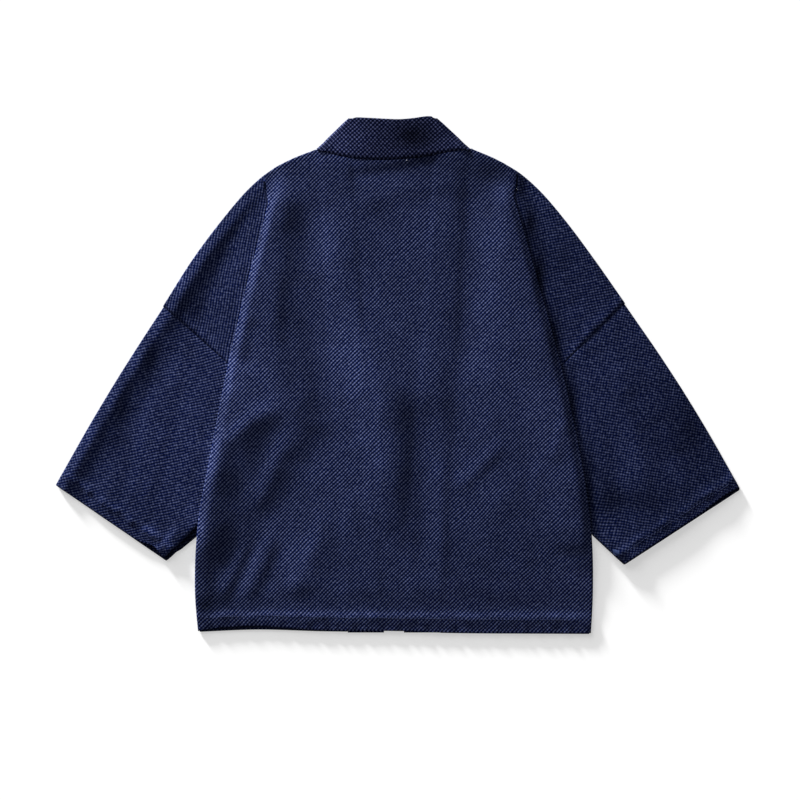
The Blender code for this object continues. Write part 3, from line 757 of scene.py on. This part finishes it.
def make_piece(name, sheet, material, shaded_under_edge=(), thickness=CLOTH):
    """A closed wall of cloth about a middle surface. The listed points get painted shade: they are coloured
    dark as cloth under an edge.
    """
    points = np.vstack(sheet.rows)
    points[:, 2] = np.maximum(points[:, 2], thickness / 2)
    faces = np.vstack(sheet.faces)
    mesh = bpy.data.meshes.new(name)
    mesh.from_pydata(((points[:, :3] + (CENTRE_X, HEM_Y, 0.0)) * MM).tolist(), [], faces.tolist())
    layer_uv = mesh.uv_layers.new(name="cloth")
    loops = np.zeros(len(mesh.loops), np.int32)
    mesh.loops.foreach_get("vertex_index", loops)
    layer_uv.data.foreach_set("uv", (points[loops, 3:5] * MM).astype(np.float32).ravel())
    # Painted light and shade per point (shadows beside folds, lit seams and puckers, the lamps' falloff),
    # with some paling by rubbing
    light_and_rubbing_layer = mesh.attributes.new("wear", "FLOAT", "POINT")
    light_and_rubbing = wear(points[:, 0], points[:, 1])
    # Points under an edge get painted shade: they are coloured dark
    light_and_rubbing[np.array(shaded_under_edge, int)] = UNDER_EDGE_SHADE
    light_and_rubbing_layer.data.foreach_set("value", light_and_rubbing.astype(np.float32))
    left, right = (ease((s.sign * points[:, 0] - fold_out(s, points[:, 1])) / 6.0) for s in SIDES)
    arm = mesh.attributes.new("arm", "FLOAT", "POINT")
    arm.data.foreach_set("value", (left + 2 * right).astype(np.float32))
    mesh.shade_smooth()
    piece = linked(name, mesh)
    wall = piece.modifiers.new("wall", "SOLIDIFY")
    wall.thickness = thickness * MM
    wall.offset = 0.0
    wall.use_even_offset = False
    mesh.materials.append(material)
    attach(piece, "root")
    return piece


def body_columns(side, up):
    """Shares of the back's half width, the same at any height."""
    top_edge, _ = panel_edge(side, BACK, APEX_UP)
    neck = np.linspace(0.0, NECK_OUT / top_edge, NECK_COLUMNS)
    corner = (NECK_OUT + CORNER_STEP) / top_edge
    return np.append(neck, np.linspace(corner, 1, FLAT_COLUMNS - NECK_COLUMNS))


def about(row, centre, reach):
    return row[centre - reach : centre + reach + 1]


def make_back(material):
    sheet = Sheet()
    left, right = (placed(side, half_panel(side, BACK, body_columns)) for side in SIDES)
    rows = [np.vstack([a[:0:-1], b]) for a, b in zip(left, right)]
    centres = [len(row) - 1 for row in left]
    numbers = sheet.add(rows)
    for k in range(len(numbers) - 1):
        reach = min(centres[k : k + 2])
        sheet.weave([about(numbers[j], centres[j], reach) for j in (k, k + 1)])
    flat = FLAT_COLUMNS - 1
    cut = [about(row, centre, flat) for row, centre in zip(rows, centres)]
    edge = about(numbers[-1], centres[-1], flat)
    sheet.weave([edge] + sheet.add(hem_rows(cut, -1.0)))
    return make_piece("back_cloth", sheet, material)


def front_columns(side, up):
    edge_out, _ = panel_edge(side, FRONT, up)
    seam = mix(BAND_SEAM_FOOT, side.band_seam, up / BAND_SEAM_UP) + BAND_GAP
    return np.linspace(seam / edge_out, 1, FRONT_COLUMNS)


def make_front(side, material):
    sheet = Sheet()
    rows = placed(side, half_panel(side, FRONT, front_columns))
    numbers = sheet.add(rows)
    sheet.weave(numbers)
    cut = [row[:FRONT_COLUMNS] for row in rows]
    hem = [numbers[-1][:FRONT_COLUMNS]] + sheet.add(hem_rows(cut, 1.0))
    sheet.weave(hem)
    # The hem row and its turned allowance get painted shade: the dark line under the back's hem
    return make_piece("front_" + side.name + "_cloth", sheet, material, np.concatenate(hem))


def wall_heights(side, share, plan, shares):
    """Heights of the sleeve's lower and upper wall at places round a ring."""
    cuff = ease((share - CUFF_FROM) / CUFF_STEP)
    lap = PITCH * 0.8 * ease(-share / 0.008)
    lower = arm_height(side, FRONT, plan)
    outside = 1 - tucked_share(side, plan)
    crown = SLEEVE_CROWN * np.sin(math.pi * shares) * outside
    upper = arm_height(side, BACK, plan) + crown * ease(share / CROWN_LENGTH)
    upper = mix(upper, lower + CUFF_RISE, cuff)
    upper = mix(upper + arm_relief(side, plan), settled(side, plan, upper), 1 - outside)
    lift = 0.6 * (1 + waves(plan[:, 0] * 0.7 + plan[:, 1] * 0.4, 81 + side.sign, 80.0))
    lift = np.clip(lift, 0.0, 1.3) * ease(shares / 0.2) * ease((1 - shares) / 0.2) * outside
    lower = mix(lower + lift, settled(side, plan, lower), 1 - outside)
    return lower + lap, upper - lap


def pressed_fold(upper_end, outward, reach, top, bottom):
    """A pressed underarm: the upper wall folds down flat and the lower one runs out past it."""
    step = np.array([0.5, 0.8, 1.2, 0.5 * reach + 0.6, reach - 0.2, reach + 0.6])
    fold = bottom + PITCH
    fall = [mix(top, fold, t) for t in (0.15, 0.6, 1.0)] + [fold, fold, bottom + PITCH / 2]
    return upper_end + outward * step[:, None], np.array(fall)


def sleeve_ring(side, share):
    """One ring round the sleeve: upper wall, underarm end, lower wall back, top end."""
    tip, armhole = armhole_line(side)
    top = sleeve_top(side, share)
    low = mix(side.armpit - armhole * UNDERARM_INSET, side.cuff_low, share)
    across = unit(low - top)
    shares = np.linspace(0, 1, WALL_STEPS + 1)
    lower, upper = wall_heights(side, share, mix(top, low, shares[:, None]), shares)
    top_roll, low_roll = (upper - lower)[[0, -1]] / 2
    plan = mix(top + across * (HALF + top_roll), low - across * (HALF + low_roll), shares[:, None])
    lower, upper = wall_heights(side, share, plan, shares)
    angles = np.linspace(0, math.pi, ARC_STEPS + 1)[1:-1]
    grain = unturned(side, plan, side.sleeve_grain)
    along = unit(side.cuff_top - tip)
    middle, spread, least, more = side.cuff_slip
    slip = CUFF_SLIP * (least + more * bell(shares, middle, spread))
    slip = slip * ease((share - SLIP_FROM) / SLIP_STEP)
    swell = ease((share - 0.3) / 0.4) * min(1.0, (1 - share) / 0.22)
    outward_share = ease((shares - 0.8) / 0.2)[:, None]
    drawn = side.underarm_drawn * ease((share - 0.5) / 0.2) * (1 - 0.35 * swell)
    upper_swell = side.underarm_swell[0] * swell - drawn
    upper_plan = plan - slip[:, None] * along + across * upper_swell * outward_share
    lower_plan = plan + across * side.underarm_swell[1] * swell * outward_share
    pressed = ease((share - 0.5) / 0.2) * (side.underarm_drawn > 0)
    lower = mix(lower, HALF + 0.2, pressed * ease((shares - 0.88) / 0.1))
    ends = []
    for k, outward in ((-1, across), (0, -across)):
        roll = (upper[k] - lower[k]) / 2
        down = ((1 - np.cos(angles)) / 2)[:, None]
        end = mix(upper_plan[k], lower_plan[k], down) + outward * roll * np.sin(angles)[:, None]
        height = lower[k] + roll * (1 + np.cos(angles))
        if k == -1 and pressed > 0:
            reach = np.linalg.norm(lower_plan[k] - upper_plan[k])
            stepped, fall = pressed_fold(upper_plan[k], outward, reach, upper[k], lower[k])
            end = mix(end, stepped, pressed)
            height = mix(height, fall, pressed)
        ends.append(np.column_stack([end, height, unturned(side, end, side.sleeve_grain)]))
    upper_wall = np.column_stack([upper_plan, upper, grain])
    lower_wall = np.column_stack([lower_plan, lower, grain])
    return np.vstack([upper_wall, ends[0], lower_wall[::-1], ends[1][::-1]])


def make_sleeve(side, material):
    sheet = Sheet()
    rings = [sleeve_ring(side, share) for share in RING_SHARES]
    count = len(rings)
    cuff = rings[-1]
    around = (np.roll(cuff, -1, axis=0) - np.roll(cuff, 1, axis=0))[:, :3]
    along = np.append(np.array(side.cuff_top) - np.array(side.shoulder[-1]), 0.0)
    inward = np.cross(around, along)
    inward = inward / np.linalg.norm(inward, axis=1)[:, None]
    inward = inward * np.sign(np.sum((cuff.mean(axis=0) - cuff)[:, :3] * inward))
    rings += turned_rows(cuff, rings[-2:-10:-1], inward)
    numbers = sheet.add(placed(side, rings))
    sheet.weave(numbers, closed=True)
    # The cuff's turned-in allowance and the underarm strip get painted shade, coloured dark for the shade
    # under the upper wall
    strip = slice(WALL_STEPS + (3 if side.underarm_drawn else 2), WALL_STEPS + ARC_STEPS + 1)
    shaded_under_edge = np.concatenate(numbers[count + 1 :] + [ring[strip] for ring in numbers[:count]])
    return make_piece("sleeve_" + side.name + "_cloth", sheet, material, shaded_under_edge)


def band_front_rows(side):
    """One front band, from the hem up, and its fold over to the back at the neck's corner."""
    seam_top = np.array([side.band_seam, BAND_SEAM_UP])
    free_top = np.array([side.band_free, BAND_FREE_UP])
    diagonal = unit(free_top - seam_top)
    outward = np.array([diagonal[1], -diagonal[0]])
    tuck = BAND_ROLL + BAND_CLOTH / 2
    seam_top, free_top = seam_top - outward * tuck, free_top - outward * tuck
    seam_foot = np.array([BAND_SEAM_FOOT, BAND_FOOT_UP])
    free_foot = np.array([BAND_FREE_FOOT, BAND_FOOT_UP])
    low = BAND_CLOTH / 2
    across = BAND_COLUMNS[:, None]
    rows = []
    for share in np.linspace(0, 0.985, BAND_ROWS):
        plan = mix(mix(seam_foot, seam_top, share), mix(free_foot, free_top, share), across)
        rows.append(np.column_stack([plan, np.full(len(plan), low), plan]))
    line = mix(seam_top, free_top, across)
    flare = np.array([4.6, -2.8]) * (1 - ease(across / 0.2))
    corner = ease((across - 0.8) / 0.2)
    swell = 1.1 * ease(across / 0.3) + 1.0 * corner
    line = line + flare + outward * swell - diagonal * 0.6 * corner
    for angle in np.linspace(0, math.pi, 2 * ARC_STEPS + 1):
        plan = line + outward * BAND_ROLL * math.sin(angle) * (1 - 0.85 * corner)
        height = low + BAND_ROLL * (1 - math.cos(angle))
        rows.append(np.column_stack([plan, np.full(len(plan), height), line + outward * BAND_ROLL * angle]))
    return rows


def neck_rows(left_end, right_end):
    """The band across the back of the neck, from the left fold to the right one."""
    across = BAND_COLUMNS[:, None]
    rows = []
    for seam_x in np.linspace(-NECK_SPAN, NECK_SPAN, NECK_ROWS):
        free_x = np.interp(
            seam_x,
            [left_end[0, 0], 0.0, right_end[0, 0]],
            [left_end[-1, 0], 0.0, right_end[-1, 0]],
        )
        tuck = NECK_TUCK * (1 - ease((abs(seam_x) - NECK_TUCK_END) / 16))
        seam = np.array([seam_x, through(NECK_SEAM, seam_x) - tuck])
        free = np.array([free_x, through(BAND_TOP, free_x)])
        end = left_end if seam_x < 0 else right_end
        near_end = ease((abs(seam_x) - NECK_TUCK_END) / 20)
        free[1] = mix(free[1], end[-1, 1], ease((abs(seam_x) - 94) / 14))
        plan = mix(seam, free, across)
        sag = BAND_NECK_SAG * (1 - ease(abs(plan[:, 0]) / 54.0))
        from_seam = across[:, 0] * (BAND_WIDTH + tuck) - tuck
        ridge = 0.6 * bell(np.maximum(from_seam - 5, 0), 0.0, 6.5) * (1 - 0.5 * near_end)
        ridge = ridge - 0.8 * (1 - ease((from_seam + 1.0) / 6.0)) * (1 - near_end)
        under = -(3.2 + ridge) * ease((1.6 - from_seam) / 2.6) * tuck / NECK_TUCK
        height = np.maximum(left_end[0, 2] - sag + ridge + under, BAND_CLOTH / 2)
        height = mix(height, TUCK_UP, ease((-1.2 - from_seam) / 1.6) * tuck / NECK_TUCK)
        rows.append(np.column_stack([plan, height, plan]))
    return rows


def make_collar(material):
    sheet = Sheet()
    left, right = (placed(side, band_front_rows(side)) for side in SIDES)
    sheet.weave(sheet.add(left + neck_rows(left[-1], right[-1]) + right[::-1]))
    return make_piece("collar_cloth", sheet, material, (), BAND_CLOTH)


def surface_point(piece, x, up):
    """The cloth's outer surface straight below a place, in metres, and its normal."""
    seen = piece.evaluated_get(bpy.context.evaluated_depsgraph_get())
    start = Vector(((x + CENTRE_X) * MM, (up + HEM_Y) * MM, 0.1))
    found, point, normal, _ = seen.ray_cast(start, Vector((0, 0, -1)))
    return (np.array(point), np.array(normal)) if found else None


def stitches(name, piece, runs, width, material):
    """Short lengths of thread, each half sunk in the cloth between two places."""
    points, faces = [], []
    for start, end in runs:
        start, end = np.array(start, float), np.array(end, float)
        places = [surface_point(piece, *mix(start, end, t)) for t in (0.0, 0.5, 1.0)]
        if any(place is None for place in places):
            continue
        along = unit(places[2][0] - places[0][0])
        base = len(points)
        for (point, normal), wide, high in zip(places, (0.45, 1.0, 0.45), (-0.15, 0.3, -0.15)):
            aside = np.cross(normal, along)
            centre = point + normal * high * width * MM
            for angle in np.linspace(0, 2 * math.pi, 7)[:-1]:
                offset = math.cos(angle) * aside + math.sin(angle) * normal
                points.append(centre + offset * wide * width * MM / 2)
        for a in range(base, base + 12):
            b = a + 1 if (a - base) % 6 < 5 else a - 5
            faces.append((a, b, b + 6, a + 6))
        faces += [tuple(range(base + 5, base - 1, -1)), tuple(range(base + 12, base + 18))]
    mesh = bpy.data.meshes.new(name)
    mesh.from_pydata([tuple(point) for point in points], [], faces)
    mesh.shade_smooth()
    mesh.materials.append(material)
    thread = linked(name, mesh)
    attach(thread, "root")


def hem_runs():
    """The back hem's stitches, along the foot of its ridge."""
    runs = []
    for x in np.arange(-272.0, 274.0, STITCH_PITCH):
        ends = (x, x + STITCH_LENGTH)
        runs.append([(end, through(BACK_HEM, end) + HEM_STITCH_UP) for end in ends])
    return runs


def cuff_runs(side):
    """A cuff's stitches, from the top edge to the underarm edge."""
    top, along, inward = cuff_line(side)
    top = top + inward * CUFF_STITCH_IN
    length = math.dist(side.cuff_top, side.cuff_low)
    runs = []
    for t in np.arange(12.0, length - 14.0, STITCH_PITCH):
        runs.append([(top + along * end) * (side.sign, 1) for end in (t, t + STITCH_LENGTH)])
    return runs


def bartack_runs():
    """The close block of stitches at the right cuff's lower corner."""
    return [((316.5 + 1.1 * k, 121.0 - 0.3 * k), (318.0 + 1.1 * k, 111.5 - 0.3 * k)) for k in range(9)]


# Materials

# A cloth's name, repeat in metres, dark and light colour, how uneven its dye is, and how much its /
# diagonals are painted lighter as a highlight of ridges lit from the upper left
Dye = namedtuple("Dye", "name cell dark light mottle lean")
BODY_DYE = Dye(
    "indigo_rice_cotton", 0.00564, (0.0006, 0.0028, 0.0245), (0.070, 0.085, 0.167), 0.34, 0.08,
)
BAND_DYE = Dye(
    "band_rice_cotton", 0.0060, (0.0006, 0.0016, 0.0130), (0.050, 0.058, 0.122), 0.45, 0.0,
)

# Light of the paper and the room, and of two windows to the upper left. A window's energy, and its
# width and height in degrees.
PAPER_GLOW = 0.44
ROOM_LIGHT = 0.24
LAMP_AZIMUTH = 122
LAMPS = (("window", 2.4, 40, 20.0), ("low_window", 11.0, 6, 8.0))

# The paper's half size and height, in metres
FLOOR_HALF = 4.0
FLOOR_UP = -0.0004

# Camera, straight above, in millimetres
PICTURE_WIDTH = 800 * 1.45
PICTURE_MIDDLE = (2.7, -35.4)
CLOTH_TOP = 6.0
SENSOR = 36.0
LENS = 85.0


class Graph:
    """Small helpers to wire shader nodes."""

    def __init__(self, name):
        self.material = bpy.data.materials.new(name)
        self.material.use_nodes = True
        self.tree = self.material.node_tree
        self.shader = self.tree.nodes["Principled BSDF"]

    def wire(self, value, socket):
        if isinstance(value, bpy.types.NodeSocket):
            self.tree.links.new(value, socket)
        else:
            socket.default_value = value

    def node(self, kind, out, inputs, **settings):
        node = self.tree.nodes.new(kind)
        for key, value in settings.items():
            setattr(node, key, value)
        for key, value in inputs.items():
            self.wire(value, node.inputs[key])
        return node.outputs[out]

    def math(self, operation, a, b=0.0, c=0.0):
        return self.node("ShaderNodeMath", 0, {0: a, 1: b, 2: c}, operation=operation)

    def affine(self, a, b, c=0.0):
        """a times b, plus c."""
        return self.math("MULTIPLY_ADD", a, b, c)

    def vector(self, operation, a, b):
        second = "Scale" if operation == "SCALE" else 1
        return self.node("ShaderNodeVectorMath", 0, {0: a, second: b}, operation=operation)

    def noise(self, vector, scale, detail=2.0, rough=0.5, out="Fac"):
        inputs = {"Vector": vector, "Scale": scale, "Detail": detail, "Roughness": rough}
        return self.node("ShaderNodeTexNoise", out, inputs)

    def attribute(self, name):
        return self.node("ShaderNodeAttribute", "Fac", {}, attribute_name=name)


def woven_dots(g, uv, cell, lean):
    """The chequer of raised dots: two crossed diagonals, softer on both arms. The / diagonal is painted
    lighter, a highlight of its lit ridges, less so on the arms.
    """
    drift = g.noise(uv, 22.0, out="Color")
    drift = g.vector("SCALE", g.vector("SUBTRACT", drift, (0.5, 0.5, 0.5)), 0.0045)
    split = g.tree.nodes.new("ShaderNodeSeparateXYZ")
    g.wire(g.vector("ADD", uv, drift), split.inputs[0])
    turn = 2 * math.pi / cell
    u = g.affine(split.outputs[0], turn)
    v = g.affine(split.outputs[1], turn)
    slash = g.math("COSINE", g.math("SUBTRACT", u, v))
    back = g.math("COSINE", g.math("ADD", u, v))
    arm = g.attribute("arm")
    crisp = g.affine(g.math("MINIMUM", arm, 1.0), -0.45, 1.0)
    # Painted highlight: the / diagonal is coloured lighter, as its ridges lit from the upper left; less on
    # the arms
    slash_lit = g.affine(g.math("MAXIMUM", arm, 1.0), -0.6 * lean, 1.6 * lean)
    dots = g.affine(slash, g.math("ADD", slash_lit, 0.25))
    dots = g.math("ADD", dots, g.affine(back, g.math("SUBTRACT", 0.25, slash_lit)))
    return g.affine(dots, crisp, 0.5)


def dyed(g, uv, dots, dye):
    """Colour of the cloth: dark ground, dots paled by use, uneven dye, and painted light and shade mixed
    with some paling by rubbing, from the mesh's attribute.
    """
    speck = g.noise(uv, 240.0, 2.0, 0.6)
    tone = g.math("ADD", dots, g.affine(speck, 1.0, -0.5))
    steps = {0: tone, 1: 0.36, 2: 1.02, 3: 0.0, 4: 1.0}
    tone = g.node("ShaderNodeMapRange", 0, steps, interpolation_type="SMOOTHSTEP")
    cloud = g.noise(uv, 14.0, 3.0, 0.55)
    patch = g.noise(uv, 55.0, 3.0, 0.6)
    tint = g.affine(cloud, 2 * dye.mottle, 1.0 - dye.mottle)
    patchy = g.affine(patch, 1.4 * dye.mottle, 1.0 - 0.7 * dye.mottle)
    tint = g.affine(tint, patchy)
    # Painted light and shade, with some paling by rubbing, scale the colour through the mesh attribute
    tint = g.affine(tint, g.math("ADD", g.attribute("wear"), 1.0))
    shades = {0: tone, 6: (*dye.dark, 1.0), 7: (*dye.light, 1.0)}
    return g.vector("SCALE", g.node("ShaderNodeMix", 2, shades, data_type="RGBA"), tint)


def cotton(dye):
    """Rice-stitch cotton: raised worn dots in a chequer on dark ground, uneven in dye."""
    g = Graph(dye.name)
    uv = g.node("ShaderNodeUVMap", "UV", {}, uv_map="cloth")
    dots = woven_dots(g, uv, dye.cell, dye.lean)
    yarn = g.noise(uv, 900.0, 3.0, 0.6)
    soft = g.noise(uv, 30.0)
    relief = g.math("ADD", dots, g.affine(yarn, 0.25, -0.12))
    relief = g.affine(soft, 1.6, relief)
    bump = g.node("ShaderNodeBump", 0, {"Strength": 1.0, "Distance": 0.0006, "Height": relief})
    surface = {
        "Base Color": dyed(g, uv, dots, dye),
        "Normal": bump,
        "Roughness": 0.95,
        "IOR": 1.4,
        "Specular IOR Level": 0.02,
        "Sheen Weight": 0.012,
        "Sheen Roughness": 0.5,
        "Sheen Tint": (0.2, 0.3, 1.0, 1.0),
    }
    for socket, value in surface.items():
        g.wire(value, g.shader.inputs[socket])
    return g.material


def plain(name, colour, roughness):
    g = Graph(name)
    g.wire((*colour, 1.0), g.shader.inputs["Base Color"])
    g.wire(roughness, g.shader.inputs["Roughness"])
    g.wire(0.2, g.shader.inputs["Specular IOR Level"])
    return g.material


# Stage

def make_floor():
    r = FLOOR_HALF
    mesh = bpy.data.meshes.new("surface")
    mesh.from_pydata([(-r, -r, 0), (r, -r, 0), (r, r, 0), (-r, r, 0)], [], [(0, 1, 2, 3)])
    floor = linked("surface", mesh)
    floor.location.z = FLOOR_UP
    paper = plain("pale_paper", (0.6, 0.6, 0.6), 1.0)
    glow = paper.node_tree.nodes["Principled BSDF"].inputs
    glow["Emission Color"].default_value = (1.0, 1.0, 1.0, 1.0)
    glow["Emission Strength"].default_value = PAPER_GLOW
    mesh.materials.append(paper)


def make_light():
    world = bpy.data.worlds.new("studio")
    bpy.context.scene.world = world
    world.use_nodes = True
    room = world.node_tree.nodes["Background"].inputs
    room[0].default_value = (1.0, 1.0, 1.0, 1.0)
    room[1].default_value = ROOM_LIGHT
    for name, energy, width, height in LAMPS:
        sun = bpy.data.lights.new(name, "SUN")
        sun.energy = energy
        sun.angle = math.radians(width)
        lamp = linked(name, sun)
        lamp.rotation_euler = (math.radians(90 - height), 0.0, math.radians(90 + LAMP_AZIMUTH))


def make_camera():
    data = bpy.data.cameras.new("camera")
    data.sensor_width = SENSOR
    data.lens = LENS
    camera = linked("camera", data)
    away = PICTURE_WIDTH * MM * LENS / SENSOR
    camera.location = (PICTURE_MIDDLE[0] * MM, PICTURE_MIDDLE[1] * MM, away + CLOTH_TOP * MM)
    bpy.context.scene.camera = camera


def main():
    body, collar = cotton(BODY_DYE), cotton(BAND_DYE)
    pieces = {"back": make_back(body), "collar": make_collar(collar)}
    for side in SIDES:
        pieces["front_" + side.name] = make_front(side, body)
        pieces["sleeve_" + side.name] = make_sleeve(side, body)
    for node, piece in pieces.items():
        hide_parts(node)
    back = pieces["back"]
    thread = plain("navy_thread", (0.021, 0.029, 0.082), 0.8)
    stitches("hem_stitches", back, hem_runs(), 0.7, thread)
    for side in SIDES:
        name = "cuff_" + side.name + "_stitches"
        stitches(name, pieces["sleeve_" + side.name], cuff_runs(side), 0.7, thread)
    tack = plain("pale_thread", (0.016, 0.030, 0.088), 0.8)
    stitches("cuff_bartack", pieces["sleeve_right"], bartack_runs(), 0.9, tack)
    speck = plain("loose_thread", (0.35, 0.36, 0.4), 0.8)
    stitches("neck_thread", back, [NECK_THREAD], 0.8, speck)
    make_floor()
    make_light()
    make_camera()
    scene = bpy.context.scene
    scene.view_settings.view_transform = "Standard"
    scene.view_settings.look = "None"


main()
